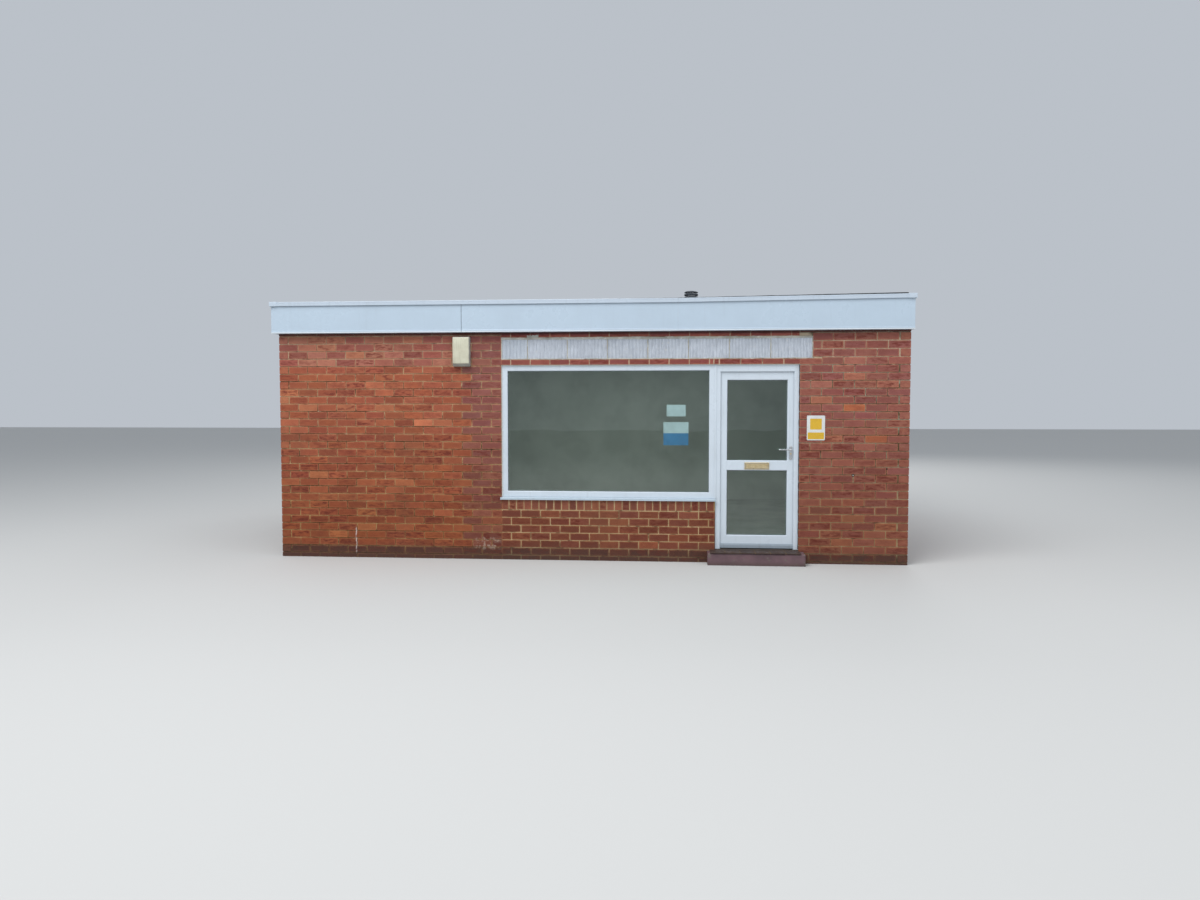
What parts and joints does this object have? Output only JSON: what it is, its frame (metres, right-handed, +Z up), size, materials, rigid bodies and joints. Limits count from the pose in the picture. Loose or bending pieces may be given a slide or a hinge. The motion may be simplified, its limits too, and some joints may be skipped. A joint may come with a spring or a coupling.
{
  "type": "corner shop building",
  "caption": "Small single-storey flat-roofed brick shop with a wide shop window, a glazed door with lever and letter flap, a concrete block band and a white fascia.",
  "frame": {"origin": "centre of the building's plan on the lowest ground, in the underside of the floor slab", "axes": "+X to the right along the shop front seen from outside, +Y from the front to the rear, +Z up"},
  "size_m": [7.1886, 5.8953, 3.2017],
  "materials": {
    "brick": "matt",
    "concrete": "matt",
    "upvc": "satin",
    "trim_white": "satin",
    "clear_glass": "polished",
    "brass_plate": "satin",
    "silver_metal": "satin",
    "step_paint": "matt",
    "quarry_tile": "satin",
    "joist_wood": "matt",
    "felt": "matt",
    "plasterboard": "matt",
    "vent_metal": "satin",
    "alarm_cream": "satin",
    "sign_plate": "satin"
  },
  "bodies": {
    "shop": {"floor_slab": "concrete", "front_wall_left": "brick", "front_wall_under_window": "brick", "brick_sill": "brick", "front_wall_right": "brick", "lintel_course": "brick", "block_band": "concrete", "inner_lintel": "concrete", "front_wall_top": "brick", "door_base": "concrete", "left_wall": "brick", "right_wall": "brick", "rear_wall": "brick", "window_frame": "upvc", "window_glass": "clear_glass", "window_beads": "upvc", "window_cill": "upvc", "coupling_strip": "upvc", "door_frame": "upvc", "door_threshold": "upvc", "hinge_fixed_halves": "upvc", "door_step": "step_paint", "step_tile": "quarry_tile", "soffits": "upvc", "fascia_front": "upvc", "fascia_sides": "upvc", "fascia_rear": "upvc", "trim_front": "trim_white", "trim_sides_and_rear": "trim_white", "trim_corners": "trim_white", "ceiling": "plasterboard", "roof_joists": "joist_wood", "roof_deck": "joist_wood", "roof_felt": "felt", "roof_vent": "vent_metal", "alarm_box": "alarm_cream", "wall_sign": "sign_plate"},
    "door": {"door_leaf": "upvc", "door_glass": "clear_glass", "door_beads": "upvc", "letter_plate": "brass_plate", "handle_plates": "silver_metal", "lock_cylinder": "brass_plate", "hinge_door_halves": "upvc"},
    "levers": {"lever_handles": "silver_metal"},
    "flap": {"letter_flap": "brass_plate"}
  },
  "joints": [
    {"name": "door_swing", "type": "hinge", "parent": "shop", "child": "door", "pos_m": [1.4955, -2.696, 0.205], "axis": [0, 0, 1], "range_deg": [0, 90]},
    {"name": "lever_turn", "type": "hinge", "parent": "door", "child": "levers", "pos_m": [2.277, -2.755, 1.263], "axis": [0, -1, 0], "range_deg": [-35, 35], "stiffness_Nm_per_rad": 1.5},
    {"name": "flap_lift", "type": "hinge", "parent": "door", "child": "flap", "pos_m": [1.907, -2.7615, 1.0985], "axis": [-1, 0, 0], "range_deg": [0, 90], "stiffness_Nm_per_rad": 0.05}
  ]
}
